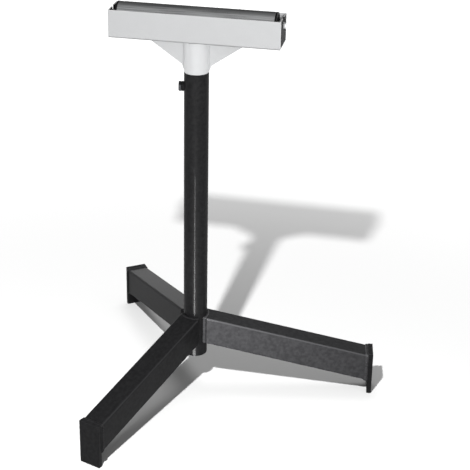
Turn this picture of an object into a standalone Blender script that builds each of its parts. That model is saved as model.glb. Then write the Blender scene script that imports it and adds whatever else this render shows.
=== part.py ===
# Height-adjustable roller stand: three welded legs, a post, a sliding mast and a roller in a channel.
# Metres, +Z up. The origin is the middle of the stand's footprint, on the floor.
# +X runs along the roller. The shape is the stand at its lowest height.
import math

import bmesh
import bpy
from mathutils import Matrix, Vector

# Clearance between pieces that touch on the real stand
SEAT_GAP = 0.0003

# Post: a standing round tube
POST_DIAMETER = 0.0508
POST_WALL = 0.0026
POST_LENGTH = 0.650
POST_UNDERSIDE = 0.075

# Mast: the round tube that slides in the post and carries the head
MAST_WALL = 0.0026
MAST_FIT_GAP = 0.00035
MAST_BOTTOM_ABOVE_POST_UNDERSIDE = 0.022

# Legs: box sections that slope down from the post to the foot plates
LEG_WIDTH = 0.048
LEG_HEIGHT = 0.062
LEG_WALL = 0.003
LEG_CORNER_RADIUS = 0.0045
LEG_SLOPE = math.radians(12.0)
LEG_REACH = 0.378
LEG_TOP_AT_FOOT = 0.0950
LEG_DIRECTIONS = {"right": math.radians(8.7), "back": math.radians(125.3), "front": math.radians(250.0)}

# Foot plates: upright plates across the ends of the legs
FOOT_THICKNESS = 0.010
FOOT_WIDTH = 0.048
FOOT_HEIGHT = 0.098
FOOT_EDGE_BREAK = 0.0008

# Clamp: a nut let into the post's wall, and a screw that presses on the mast
CLAMP_DIRECTION = LEG_DIRECTIONS["right"] + math.pi
CLAMP_BELOW_POST_TOP = 0.032
CLAMP_HEX_ACROSS_FLATS = 0.019
CLAMP_NUT_STAND_OUT = 0.0045
CLAMP_HEAD_THICKNESS = 0.0058
CLAMP_SCREW_DIAMETER = 0.012
CLAMP_HEAD_CHAMFER = 0.0012

# Head: collar on the mast, channel, two gussets and two end plates
COLLAR_LENGTH = 0.0667
CHANNEL_LENGTH = 0.348
CHANNEL_DEPTH = 0.065
CHANNEL_HEIGHT = 0.0575
CHANNEL_WALL = 0.003
CHANNEL_BEND_RADIUS = 0.0045
GUSSET_THICKNESS = 0.004
GUSSET_REACH = 0.106
GUSSET_NOSE_REACH = 0.0302
GUSSET_NOSE_BELOW_CHANNEL = 0.053
GUSSET_TIP_BELOW_CHANNEL = 0.065
END_PLATE_THICKNESS = 0.003
END_PLATE_CORNER = 0.0016

# Roller: tube, end caps, ball bearings and a fixed axle
ROLLER_DIAMETER = 0.050
ROLLER_WALL = 0.002
ROLLER_END_GAP = 0.0085
ROLLER_STAND_PROUD = 0.010
CAP_FLANGE_THICKNESS = 0.0035
CAP_EDGE_BREAK = 0.0009
CAP_AXLE_CLEARANCE = 0.001
AXLE_DIAMETER = 0.015
AXLE_FLAT_WIDTH = 0.012
AXLE_STAND_OUT = 0.0055
AXLE_FLAT_RUN_IN = 0.002
AXLE_CHAMFER = 0.001
SLOT_SIDE_CLEARANCE = 0.0003
BEARING_DIAMETER = 0.035
BEARING_WIDTH = 0.011
BALL_COUNT = 8
BALL_RADIUS = 0.0028
RACEWAY_CLEARANCE = 0.0002
RACE_SHOULDER = 0.0014
CAGE_WIDTH = 0.003
CAGE_THICKNESS = 0.0016
RING_THICKNESS = 0.001
RING_RADIAL_WIDTH = 0.0035
RING_GROOVE_DEPTH = 0.0006
RING_MOUTH = math.radians(50.0)

# Fineness of round surfaces
TUBE_STEPS = 64
SMALL_STEPS = 36
CORNER_STEPS = 4

# Sizes that follow from the ones above
POST_RADIUS = POST_DIAMETER / 2
POST_BORE = POST_RADIUS - POST_WALL
POST_TOP = POST_UNDERSIDE + POST_LENGTH
MAST_RADIUS = POST_BORE - MAST_FIT_GAP
LEG_START = POST_RADIUS + SEAT_GAP
COLLAR_BORE = MAST_RADIUS + SEAT_GAP
COLLAR_UNDERSIDE = POST_TOP + SEAT_GAP
CHANNEL_UNDERSIDE = COLLAR_UNDERSIDE + COLLAR_LENGTH + SEAT_GAP
CHANNEL_TOP = CHANNEL_UNDERSIDE + CHANNEL_HEIGHT
ROLLER_RADIUS = ROLLER_DIAMETER / 2
ROLLER_BORE = ROLLER_RADIUS - ROLLER_WALL
ROLLER_LENGTH = CHANNEL_LENGTH - 2 * (END_PLATE_THICKNESS + ROLLER_END_GAP)
AXIS_HEIGHT = CHANNEL_TOP + ROLLER_STAND_PROUD - ROLLER_RADIUS
AXLE_RADIUS = AXLE_DIAMETER / 2
AXLE_LENGTH = CHANNEL_LENGTH + 2 * AXLE_STAND_OUT
BEARING_RADIUS = BEARING_DIAMETER / 2
BEARING_BORE = AXLE_RADIUS + SEAT_GAP
BALL_CIRCLE = (BEARING_BORE + BEARING_RADIUS) / 2
BEARING_CENTRE = ROLLER_LENGTH / 2 - CAP_FLANGE_THICKNESS - SEAT_GAP - BEARING_WIDTH / 2
CAP_SPIGOT_END = BEARING_CENTRE - BEARING_WIDTH / 2
RING_GROOVE_CENTRE = CAP_SPIGOT_END - SEAT_GAP - RING_THICKNESS / 2
CLAMP_HEIGHT = POST_TOP - CLAMP_BELOW_POST_TOP
CLAMP_NUT_FACE = POST_RADIUS + CLAMP_NUT_STAND_OUT


def clear_scene():
    for thing in list(bpy.data.objects):
        bpy.data.objects.remove(thing, do_unlink=True)


def new_collection(name):
    collection = bpy.data.collections.new(name)
    bpy.context.scene.collection.children.link(collection)
    return collection


def make_material(name, colour, roughness, metallic):
    material = bpy.data.materials.new(name)
    material.use_nodes = True
    shader = material.node_tree.nodes["Principled BSDF"]
    shader.inputs["Base Color"].default_value = (*colour, 1.0)
    shader.inputs["Roughness"].default_value = roughness
    shader.inputs["Metallic"].default_value = metallic
    return material


def make_empty(name, location, rotation=(0.0, 0.0, 0.0), parent=None):
    empty = bpy.data.objects.new(name, None)
    PARTS.objects.link(empty)
    empty.parent = parent
    empty.location = location
    empty.rotation_euler = rotation
    return empty


def place(name, mesh, material, parent, location=(0.0, 0.0, 0.0), rotation=(0.0, 0.0, 0.0)):
    """Puts one mesh into the part's collection as a named piece."""
    piece = bpy.data.objects.new(name, mesh)
    PARTS.objects.link(piece)
    piece.parent = parent
    piece.location = location
    piece.rotation_euler = rotation
    if material:
        mesh.materials.append(material)
    return piece


def place_cutter(name, mesh, parent, location=(0.0, 0.0, 0.0), rotation=(0.0, 0.0, 0.0)):
    """Puts one mesh into the cutters' collection, where it only shapes other pieces."""
    cutter = bpy.data.objects.new(name, mesh)
    CUTTERS.objects.link(cutter)
    cutter.parent = parent
    cutter.location = location
    cutter.rotation_euler = rotation
    cutter.hide_render = True
    cutter.display_type = "WIRE"
    return cutter


def combine(piece, other, operation="DIFFERENCE"):
    modifier = piece.modifiers.new(other.name, "BOOLEAN")
    modifier.object = other
    modifier.operation = operation
    modifier.solver = "EXACT"


def finish_mesh(name, form):
    mesh = bpy.data.meshes.new(name)
    form.to_mesh(mesh)
    form.free()
    mesh.shade_smooth()
    mesh.set_sharp_from_angle(angle=math.radians(32.0))
    return mesh


def box_mesh(name, size):
    form = bmesh.new()
    bmesh.ops.create_cube(form, size=1.0)
    bmesh.ops.scale(form, vec=Vector(size), verts=form.verts)
    return finish_mesh(name, form)


def cylinder_mesh(name, radius, length, steps=TUBE_STEPS):
    form = bmesh.new()
    bmesh.ops.create_cone(form, cap_ends=True, segments=steps, radius1=radius, radius2=radius, depth=length)
    return finish_mesh(name, form)


def bar_mesh(name, length, width, height, radius):
    """A bar along X whose four long edges are rounded."""
    form = bmesh.new()
    bmesh.ops.create_cube(form, size=1.0)
    bmesh.ops.scale(form, vec=(length, width, height), verts=form.verts)
    long_edges = [e for e in form.edges if abs(e.verts[0].co.x - e.verts[1].co.x) > length / 2]
    bmesh.ops.bevel(form, geom=long_edges, offset=radius, segments=CORNER_STEPS, profile=0.5, affect="EDGES")
    return finish_mesh(name, form)


def turned(name, profile, material, parent, location=(0.0, 0.0, 0.0), steps=TUBE_STEPS, closed=True):
    """Turns a profile of (radius, height) points about the local Z axis."""
    mesh = bpy.data.meshes.new(name)
    points = [(radius, 0.0, height) for radius, height in profile]
    edges = [(i, i + 1) for i in range(len(points) - 1)]
    if closed:
        edges.append((len(points) - 1, 0))
    mesh.from_pydata(points, edges, [])
    piece = place(name, mesh, material, parent, location)
    screw = piece.modifiers.new("turn", "SCREW")
    screw.axis = "Z"
    screw.angle = 2 * math.pi
    screw.steps = steps
    screw.render_steps = steps
    screw.use_merge_vertices = True
    screw.merge_threshold = 0.00002
    screw.use_smooth_shade = True
    return piece


def tube_profile(outer, inner, top, bottom):
    return [(outer, top), (outer, bottom), (inner, bottom), (inner, top)]


def arc(centre, radius, start, end, steps):
    """Points of a round corner, from one angle to another."""
    angles = [start + (end - start) * i / steps for i in range(steps + 1)]
    return [(centre[0] + radius * math.cos(a), centre[1] + radius * math.sin(a)) for a in angles]


def flat_mesh(name, outlines, thickness):
    """A plate cut from flat stock: closed outlines in XY, the first outside and the rest holes."""
    curve = bpy.data.curves.new(name, "CURVE")
    curve.dimensions = "2D"
    curve.fill_mode = "BOTH"
    curve.extrude = thickness / 2
    for outline in outlines:
        spline = curve.splines.new("POLY")
        spline.points.add(len(outline) - 1)
        for point, (x, y) in zip(spline.points, outline):
            point.co = (x, y, 0.0, 1.0)
        spline.use_cyclic_u = True
    holder = bpy.data.objects.new(name + "_outline", curve)
    bpy.context.scene.collection.objects.link(holder)
    bpy.context.view_layer.update()
    evaluated = holder.evaluated_get(bpy.context.evaluated_depsgraph_get())
    mesh = bpy.data.meshes.new_from_object(evaluated)
    bpy.data.objects.remove(holder, do_unlink=True)
    form = bmesh.new()
    form.from_mesh(mesh)
    bmesh.ops.remove_doubles(form, verts=form.verts, dist=0.00001)
    bmesh.ops.recalc_face_normals(form, faces=form.faces)
    form.to_mesh(mesh)
    form.free()
    mesh.name = name
    return mesh


# Turns of a flat plate: across the roller's axis, or standing along it
ACROSS = Matrix(((0, 0, 1), (1, 0, 0), (0, 1, 0))).to_euler()
ALONG = (math.pi / 2, 0.0, 0.0)


def plan_corners():
    """Plan positions, from the post's axis, of everything that sets the stand's width and depth."""
    corners = []
    for direction in LEG_DIRECTIONS.values():
        for side in (-FOOT_WIDTH / 2, FOOT_WIDTH / 2):
            reach = LEG_REACH + SEAT_GAP + FOOT_THICKNESS
            x = reach * math.cos(direction) - side * math.sin(direction)
            y = reach * math.sin(direction) + side * math.cos(direction)
            corners.append((x, y))
    for side in (-1, 1):
        corners.append((side * AXLE_LENGTH / 2, side * CHANNEL_DEPTH / 2))
    return corners


def post_position():
    """The footprint's middle is the origin, so the post stands a little off it."""
    corners = plan_corners()
    middle = [(min(c[i] for c in corners) + max(c[i] for c in corners)) / 2 for i in (0, 1)]
    return (-middle[0], -middle[1], 0.0)


def build_post(post_axis):
    profile = tube_profile(POST_RADIUS, POST_BORE, POST_TOP, POST_UNDERSIDE)
    return turned("post_tube", profile, BLACK_PAINT, post_axis)


def on_leg_middle(reach):
    """The point of a leg's centre line that lies so far out from the post's axis."""
    middle_at_foot = LEG_TOP_AT_FOOT - LEG_HEIGHT / 2 / math.cos(LEG_SLOPE)
    return (reach, 0, middle_at_foot + (LEG_REACH - reach) * math.tan(LEG_SLOPE))


def build_leg(side, direction, post_axis):
    """A box tube, cut upright at both ends. It butts on the post with a closed end."""
    leg_axis = make_empty("leg_axis_" + side, (0, 0, 0), (0, 0, direction), post_axis)
    run = LEG_REACH + FOOT_THICKNESS * 2
    length = run / math.cos(LEG_SLOPE)
    tilt = (0, LEG_SLOPE, 0)
    outer = bar_mesh("leg_" + side, length, LEG_WIDTH, LEG_HEIGHT, LEG_CORNER_RADIUS)
    leg = place("leg_" + side, outer, BLACK_PAINT, leg_axis, on_leg_middle(run / 2), tilt)

    hollow_start = LEG_START + LEG_WALL + (LEG_HEIGHT / 2 - LEG_WALL) * math.sin(LEG_SLOPE)
    inner_size = (length, LEG_WIDTH - 2 * LEG_WALL, LEG_HEIGHT - 2 * LEG_WALL)
    inner = bar_mesh("hollow_" + side, *inner_size, LEG_CORNER_RADIUS - LEG_WALL)
    inner_place = on_leg_middle(hollow_start + run / 2)
    combine(leg, place_cutter("hollow_" + side, inner, leg_axis, inner_place, tilt))

    end_size = (POST_DIAMETER, LEG_WIDTH * 2, LEG_HEIGHT * 4)
    post_end_place = (LEG_START - end_size[0] / 2, 0, on_leg_middle(LEG_START)[2])
    post_end = place_cutter("post_end_" + side, box_mesh("post_end_" + side, end_size), leg_axis, post_end_place)
    combine(leg, post_end)
    foot_end_place = (LEG_REACH + end_size[0] / 2, 0, on_leg_middle(LEG_REACH)[2])
    foot_end = place_cutter("foot_end_" + side, box_mesh("foot_end_" + side, end_size), leg_axis, foot_end_place)
    combine(leg, foot_end)
    return leg_axis


def build_foot(side, leg_axis):
    mesh = box_mesh("foot_plate_" + side, (FOOT_THICKNESS, FOOT_WIDTH, FOOT_HEIGHT))
    centre = (LEG_REACH + SEAT_GAP + FOOT_THICKNESS / 2, 0, FOOT_HEIGHT / 2)
    foot = place("foot_plate_" + side, mesh, BLACK_PAINT, leg_axis, centre)
    bevel = foot.modifiers.new("broken edges", "BEVEL")
    bevel.width = FOOT_EDGE_BREAK
    bevel.segments = 1


def hexagon(across_flats):
    """Corners of a hexagon with two of them up and down the post."""
    corner = across_flats / 2 / math.cos(math.pi / 6)
    return [(corner * math.cos(math.radians(60 * i)), corner * math.sin(math.radians(60 * i))) for i in range(6)]


def circle(radius, steps=SMALL_STEPS):
    return [(radius * math.cos(2 * math.pi * i / steps), radius * math.sin(2 * math.pi * i / steps))
            for i in range(steps)]


def build_clamp(post_axis, post, post_cutter):
    """The nut is coped to the post. Screw and nut lie along the clamp's own axis, local Z outwards."""
    clamp_turn = make_empty("clamp_turn", (0, 0, CLAMP_HEIGHT), (0, 0, CLAMP_DIRECTION), post_axis)
    clamp_axis = make_empty("clamp_axis", (0, 0, 0), (0, math.pi / 2, 0), clamp_turn)
    hole_radius = CLAMP_SCREW_DIAMETER / 2 + SEAT_GAP
    hole = cylinder_mesh("clamp_hole", hole_radius, POST_RADIUS, SMALL_STEPS)
    combine(post, place_cutter("clamp_hole", hole, clamp_axis, (0, 0, POST_RADIUS)))

    nut_thickness = POST_WALL + CLAMP_NUT_STAND_OUT
    outline = hexagon(CLAMP_HEX_ACROSS_FLATS)
    nut_mesh = flat_mesh("clamp_nut", [outline, circle(hole_radius)], nut_thickness)
    nut = place("clamp_nut", nut_mesh, BLACK_PAINT, clamp_axis, (0, 0, CLAMP_NUT_FACE - nut_thickness / 2))
    combine(nut, post_cutter)

    head_bottom = CLAMP_NUT_FACE + SEAT_GAP
    head_centre = (0, 0, head_bottom + CLAMP_HEAD_THICKNESS / 2)
    head_mesh = flat_mesh("clamp_screw", [outline], CLAMP_HEAD_THICKNESS)
    screw = place("clamp_screw", head_mesh, DARK_STEEL, clamp_axis, head_centre)
    corner = CLAMP_HEX_ACROSS_FLATS / 2 / math.cos(math.pi / 6)
    chamfer = cylinder_mesh("head_chamfer", corner + SEAT_GAP, CLAMP_HEAD_THICKNESS * 2)
    chamfer_cutter = place_cutter("head_chamfer", chamfer, clamp_axis, (0, 0, head_bottom))
    bevel = chamfer_cutter.modifiers.new("chamfer", "BEVEL")
    bevel.width = CLAMP_HEAD_CHAMFER + SEAT_GAP
    bevel.segments = 1
    bevel.limit_method = "ANGLE"
    bevel.angle_limit = math.radians(60.0)
    combine(screw, chamfer_cutter, "INTERSECT")
    tip = MAST_RADIUS + SEAT_GAP
    shank_length = head_centre[2] - tip
    shank = cylinder_mesh("clamp_shank", CLAMP_SCREW_DIAMETER / 2, shank_length, SMALL_STEPS)
    combine(screw, place_cutter("clamp_shank", shank, clamp_axis, (0, 0, tip + shank_length / 2)), "UNION")


def build_mast(post_axis):
    top = CHANNEL_UNDERSIDE - SEAT_GAP
    bottom = POST_UNDERSIDE + MAST_BOTTOM_ABOVE_POST_UNDERSIDE
    profile = tube_profile(MAST_RADIUS, MAST_RADIUS - MAST_WALL, top, bottom)
    turned("mast_tube", profile, BARE_STEEL, post_axis)


def build_collar(post_axis):
    profile = tube_profile(POST_RADIUS, COLLAR_BORE, COLLAR_UNDERSIDE + COLLAR_LENGTH, COLLAR_UNDERSIDE)
    turned("collar_tube", profile, HEAD_PAINT, post_axis)


def build_gussets(post_axis):
    """Two triangular plates between the collar and the channel, each with a short blunt nose."""
    root = POST_RADIUS + SEAT_GAP
    outline = [
        (root, -SEAT_GAP),
        (root, -GUSSET_TIP_BELOW_CHANNEL),
        (GUSSET_NOSE_REACH, -GUSSET_NOSE_BELOW_CHANNEL),
        (GUSSET_REACH, -SEAT_GAP),
    ]
    for side, turn in (("right", 0.0), ("left", math.pi)):
        mesh = flat_mesh("gusset_" + side, [outline], GUSSET_THICKNESS)
        place("gusset_" + side, mesh, HEAD_PAINT, post_axis, (0, 0, CHANNEL_UNDERSIDE), (ALONG[0], 0, turn))


def channel_outline():
    """A folded U, open at the top, in its own width and height."""
    half = CHANNEL_DEPTH / 2
    bend = CHANNEL_BEND_RADIUS
    inner_bend = bend - CHANNEL_WALL
    inner_half = half - CHANNEL_WALL
    outline = [(half, CHANNEL_HEIGHT), (inner_half, CHANNEL_HEIGHT)]
    outline += arc((half - bend, bend), inner_bend, 0, -math.pi / 2, CORNER_STEPS)
    outline += arc((bend - half, bend), inner_bend, -math.pi / 2, -math.pi, CORNER_STEPS)
    outline += [(-inner_half, CHANNEL_HEIGHT), (-half, CHANNEL_HEIGHT)]
    outline += arc((bend - half, bend), bend, math.pi, 1.5 * math.pi, CORNER_STEPS)
    outline += arc((half - bend, bend), bend, -math.pi / 2, 0, CORNER_STEPS)
    return outline


def build_channel(post_axis):
    mesh = flat_mesh("channel", [channel_outline()], CHANNEL_LENGTH)
    place("channel", mesh, HEAD_PAINT, post_axis, (0, 0, CHANNEL_UNDERSIDE), ACROSS)


def end_plate_outline():
    """Fits inside the channel. A slot, open at the top, takes the axle's flats."""
    half = CHANNEL_DEPTH / 2 - CHANNEL_WALL - SEAT_GAP
    bottom = CHANNEL_WALL + SEAT_GAP
    corner = END_PLATE_CORNER
    slot = AXLE_FLAT_WIDTH / 2 + SLOT_SIDE_CLEARANCE
    seat = AXIS_HEIGHT - CHANNEL_UNDERSIDE - AXLE_RADIUS - SEAT_GAP
    outline = [(half, bottom + corner), (half, CHANNEL_HEIGHT), (slot, CHANNEL_HEIGHT), (slot, seat)]
    outline += [(-slot, seat), (-slot, CHANNEL_HEIGHT), (-half, CHANNEL_HEIGHT), (-half, bottom + corner)]
    outline += [(corner - half, bottom), (half - corner, bottom)]
    return outline


def build_end_plates(post_axis):
    offset = (CHANNEL_LENGTH - END_PLATE_THICKNESS) / 2
    for side, sign in (("left", -1), ("right", 1)):
        mesh = flat_mesh("end_plate_" + side, [end_plate_outline()], END_PLATE_THICKNESS)
        centre = (sign * offset, 0, CHANNEL_UNDERSIDE)
        place("end_plate_" + side, mesh, PLATE_PAINT, post_axis, centre, ACROSS)


def groove(centre, depth, width):
    """Two corners in and two corners out of a ring groove, from top to bottom of the axle."""
    top, bottom = centre + width / 2, centre - width / 2
    floor = AXLE_RADIUS - depth
    return [(AXLE_RADIUS, top), (floor, top), (floor, bottom), (AXLE_RADIUS, bottom)]


def build_axle(roller_axis):
    """A turned bar with two ring grooves. Two flats at each end sit in the end plates' slots."""
    end = AXLE_LENGTH / 2
    width = RING_THICKNESS + 2 * SEAT_GAP
    profile = [(0, end), (AXLE_RADIUS - AXLE_CHAMFER, end), (AXLE_RADIUS, end - AXLE_CHAMFER)]
    profile += groove(RING_GROOVE_CENTRE, RING_GROOVE_DEPTH, width)
    profile += groove(-RING_GROOVE_CENTRE, RING_GROOVE_DEPTH, width)
    profile += [(AXLE_RADIUS, AXLE_CHAMFER - end), (AXLE_RADIUS - AXLE_CHAMFER, -end), (0, -end)]
    axle = turned("axle", profile, BARE_STEEL, roller_axis, steps=SMALL_STEPS, closed=False)
    flat_length = AXLE_STAND_OUT + END_PLATE_THICKNESS + AXLE_FLAT_RUN_IN
    waste = AXLE_RADIUS
    size = (AXLE_DIAMETER * 2, waste, flat_length * 2)
    for end_name, end_sign in (("left", -1), ("right", 1)):
        for flat_name, flat_sign in (("front", -1), ("back", 1)):
            name = "axle_flat_" + end_name + "_" + flat_name
            centre = (0, flat_sign * (AXLE_FLAT_WIDTH + waste) / 2, end_sign * end)
            combine(axle, place_cutter(name, box_mesh(name, size), roller_axis, centre))


def race_arc(side, steps=6):
    """The groove that the balls run in: side is -1 on the inner race and 1 on the outer."""
    radius = BALL_RADIUS + RACEWAY_CLEARANCE
    shoulder = RACE_SHOULDER
    half_angle = math.acos(shoulder / radius)
    if side < 0:
        return arc((BALL_CIRCLE, 0), radius, math.pi - half_angle, math.pi + half_angle, steps)
    return arc((BALL_CIRCLE, 0), radius, -half_angle, half_angle, steps)


def build_bearing(side, sign, roller_axis):
    """A deep-groove ball bearing: two races, and the balls held together by their cage."""
    centre = (0, 0, sign * BEARING_CENTRE)
    half = BEARING_WIDTH / 2
    inner_land = BALL_CIRCLE - RACE_SHOULDER
    outer_land = BALL_CIRCLE + RACE_SHOULDER
    inner = [(inner_land, half)] + race_arc(-1)
    inner += [(inner_land, -half), (BEARING_BORE, -half), (BEARING_BORE, half)]
    turned("bearing_inner_race_" + side, inner, BARE_STEEL, roller_axis, centre, SMALL_STEPS)
    outer = [(BEARING_RADIUS, half), (BEARING_RADIUS, -half), (outer_land, -half)]
    outer += race_arc(1) + [(outer_land, half)]
    turned("bearing_outer_race_" + side, outer, BARE_STEEL, roller_axis, centre, SMALL_STEPS)
    build_ball_cage(side, centre, roller_axis)


def build_ball_cage(side, centre, roller_axis):
    thickness = CAGE_THICKNESS / 2
    width = CAGE_WIDTH / 2
    profile = tube_profile(BALL_CIRCLE + thickness, BALL_CIRCLE - thickness, width, -width)
    cage = turned("ball_cage_" + side, profile, BARE_STEEL, roller_axis, centre, SMALL_STEPS)
    form = bmesh.new()
    for i in range(BALL_COUNT):
        angle = 2 * math.pi * (i + 0.5) / BALL_COUNT
        place_at = Matrix.Translation((BALL_CIRCLE * math.cos(angle), BALL_CIRCLE * math.sin(angle), 0))
        bmesh.ops.create_uvsphere(form, u_segments=12, v_segments=8, radius=BALL_RADIUS, matrix=place_at)
    balls = place_cutter("balls_" + side, finish_mesh("balls_" + side, form), roller_axis, centre)
    combine(cage, balls, "UNION")


def build_retaining_ring(side, sign, roller_axis):
    """An open spring ring in the axle's groove, which keeps the bearing from moving inwards."""
    inner = AXLE_RADIUS - RING_GROOVE_DEPTH + SEAT_GAP
    outer = inner + RING_RADIAL_WIDTH
    start, end = RING_MOUTH / 2, 2 * math.pi - RING_MOUTH / 2
    outline = arc((0, 0), outer, start, end, SMALL_STEPS) + arc((0, 0), inner, end, start, SMALL_STEPS)
    mesh = flat_mesh("retaining_ring_" + side, [outline], RING_THICKNESS)
    place("retaining_ring_" + side, mesh, DARK_STEEL, roller_axis, (0, 0, sign * RING_GROOVE_CENTRE))


def build_roller_tube(roller_axis):
    half = ROLLER_LENGTH / 2 - CAP_FLANGE_THICKNESS - SEAT_GAP
    turned("roller_tube", tube_profile(ROLLER_RADIUS, ROLLER_BORE, half, -half), ROLLER_STEEL, roller_axis)


def build_cap(side, sign, roller_axis):
    """A moulded cap: a flange as wide as the roller, and a spigot that holds the bearing in the tube."""
    end = ROLLER_LENGTH / 2
    flange = end - CAP_FLANGE_THICKNESS
    edge = CAP_EDGE_BREAK
    spigot = ROLLER_BORE - SEAT_GAP
    pocket = BEARING_RADIUS + SEAT_GAP
    hole = AXLE_RADIUS + CAP_AXLE_CLEARANCE
    profile = [(hole, end), (ROLLER_RADIUS - edge, end), (ROLLER_RADIUS, end - edge), (ROLLER_RADIUS, flange)]
    profile += [(spigot, flange), (spigot, CAP_SPIGOT_END), (pocket, CAP_SPIGOT_END), (pocket, flange)]
    profile += [(hole, flange)]
    cap = turned("roller_cap_" + side, profile, BLACK_PLASTIC, roller_axis)
    if sign < 0:
        cap.rotation_euler = (math.pi, 0, 0)


clear_scene()
PARTS = new_collection("roller_stand")
CUTTERS = new_collection("cutters")

BLACK_PAINT = make_material("black_paint", (0.035, 0.036, 0.038), 0.42, 0.0)
HEAD_PAINT = make_material("head_paint", (0.78, 0.79, 0.80), 0.35, 0.0)
PLATE_PAINT = make_material("plate_paint", (0.05, 0.05, 0.052), 0.45, 0.0)
ROLLER_STEEL = make_material("roller_steel", (0.35, 0.35, 0.36), 0.32, 0.9)
BARE_STEEL = make_material("bare_steel", (0.56, 0.57, 0.58), 0.3, 1.0)
DARK_STEEL = make_material("dark_steel", (0.08, 0.08, 0.085), 0.4, 0.8)
BLACK_PLASTIC = make_material("black_plastic", (0.02, 0.02, 0.021), 0.5, 0.0)

post_axis = make_empty("post_axis", post_position())
post_cope = cylinder_mesh("post_cope", POST_RADIUS + SEAT_GAP, POST_TOP * 2)
post_cutter = place_cutter("post_cope", post_cope, post_axis)
post = build_post(post_axis)
for side, direction in LEG_DIRECTIONS.items():
    build_foot(side, build_leg(side, direction, post_axis))
build_clamp(post_axis, post, post_cutter)

build_mast(post_axis)
build_collar(post_axis)
build_gussets(post_axis)
build_channel(post_axis)
build_end_plates(post_axis)

roller_axis = make_empty("roller_axis", (0, 0, AXIS_HEIGHT), (0, math.pi / 2, 0), post_axis)
build_axle(roller_axis)
build_roller_tube(roller_axis)
for side, sign in (("left", -1), ("right", 1)):
    build_cap(side, sign, roller_axis)
    build_bearing(side, sign, roller_axis)
    build_retaining_ring(side, sign, roller_axis)
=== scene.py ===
import math
import random

import bmesh
import bpy
from mathutils import Matrix, Vector


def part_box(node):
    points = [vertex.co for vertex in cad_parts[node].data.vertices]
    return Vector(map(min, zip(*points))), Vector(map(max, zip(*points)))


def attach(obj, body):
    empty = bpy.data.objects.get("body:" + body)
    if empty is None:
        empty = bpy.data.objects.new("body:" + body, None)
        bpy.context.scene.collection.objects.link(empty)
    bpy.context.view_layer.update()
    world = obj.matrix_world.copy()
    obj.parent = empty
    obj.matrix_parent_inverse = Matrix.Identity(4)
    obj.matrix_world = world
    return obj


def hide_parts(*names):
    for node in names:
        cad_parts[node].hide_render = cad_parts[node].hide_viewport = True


# A roller stand of painted steel: every surface's finish, its softened edges and its welds.
# Metres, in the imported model's own frame. What a piece fits is read from that frame.

# The photograph's camera: a long lens, above the roller and a little to its right
PHOTO_SIZE = 470
FOCAL_LENGTH_IN_PIXELS = 1395.8
SENSOR_WIDTH = 36.0
PICTURE_CENTRE = (182.3, 210.0)
CAMERA_FROM_POST = (0.6018, -2.5859, 1.6703)
CAMERA_PITCH = math.radians(25.27)
CAMERA_TURN = math.radians(13.72)
CAMERA_SEES_TO = 100.0

# Sizes of the stand that its boxes don't give
POST_WALL = 0.0026
MAST_WALL = 0.0026
LEG_WIDTH = 0.048
LEG_HEIGHT = 0.062
LEG_WALL = 0.003
LEG_CORNER = 0.0045
LEG_CORNER_INSIDE = 0.001
LEG_SLOPE = math.radians(12.0)
LEG_TOP_AT_FOOT = 0.0950
FOOT_THICKNESS = 0.010
FOOT_WIDTH = 0.048
NUT_STAND_OUT = 0.0045
CLAMP_FLATS = 0.019
CLAMP_HEAD_THICKNESS = 0.0058
GUSSET_NOSE_OUT = 0.00455
GUSSET_NOSE_UP = 0.012
CHANNEL_WALL = 0.003
CHANNEL_BEND = 0.0045
END_PLATE_CORNER = 0.0016
AXLE_RADIUS = 0.0075
AXLE_FLAT_WIDTH = 0.012
AXLE_FLAT_LENGTH = 0.0105
ROLLER_WALL = 0.002
CAP_FLANGE = 0.0035
CAP_POCKET_RADIUS = 0.0178
CAP_HOLE_RADIUS = 0.0085
JOINT_GAP = 0.0003

# Softened edges, as paint and a deburring tool leave them
SAWN_EDGE = 0.0006
SHEET_EDGE = 0.0005
FOOT_EDGE = 0.0011
NUT_EDGE = 0.0008
SCREW_HEAD_EDGE = 0.0009
TURNED_EDGE = 0.0007
ROLLER_EDGE = 0.0004
MOULDED_EDGE = 0.0011
ROUND_EDGES_ABOVE = math.radians(40.0)
SHARP_EDGES_ABOVE = math.radians(35.0)

# Fillet welds: their thickness, how deep they lie in the corner, and the spacing of their ripples
PLATE_WELD_RADIUS = 0.0050
PLATE_WELD_SUNK = 0.0022
PLATE_WELD_OUT = 0.0024
PLATE_WELD_PITCH = 0.0058
UNDER_WELD_RADIUS = 0.0062
POST_WELD_RADIUS = 0.0038
POST_WELD_SUNK = 0.0022
POST_WELD_PITCH = 0.0052
POST_WELD_SPREAD = math.radians(43.0)
POST_WELD_OUT = 0.0010
POST_WELD_FLARE = 0.0026
HEAD_WELD_RADIUS = 0.0018
HEAD_WELD_PITCH = 0.0030
GUSSET_WELD_START = 0.003
GUSSET_WELD_STOP = 0.004
RIPPLE_LEAST = 0.90
RIPPLE_RISE = 0.16
RIPPLE_CHANCE = 0.02
RIPPLE_FULLNESS = 0.6

# How finely round forms are divided
TURNED_STEPS = 144
AXLE_STEPS = 96
BEND_STEPS = 8
WELD_SIDES = 12
WELD_SPACING = 0.0007
POST_WELD_SPACING = 0.0008
POST_WELD_STEPS = 16
COLLAR_WELD_STEPS = 220
SEAM_CLOSES_WITHIN = 0.00001
# A direction that no weld runs along
ASKEW = Vector((0.3, 0.5, 0.81))

# Two lamps for the paper alone: a small one draws the long shadow, and a broad one the shadow under the legs
SHADOW_LAMP_FROM_POST = (-0.05, -1.6, 2.33)
SHADOW_LAMP_POWER = 960.0
SHADOW_LAMP_RADIUS = 0.045
TOP_LAMP_FROM_POST = (0.0, 0.9, 2.6)
TOP_LAMP_SIZE = 1.1
TOP_LAMP_POWER = 44.0

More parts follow.
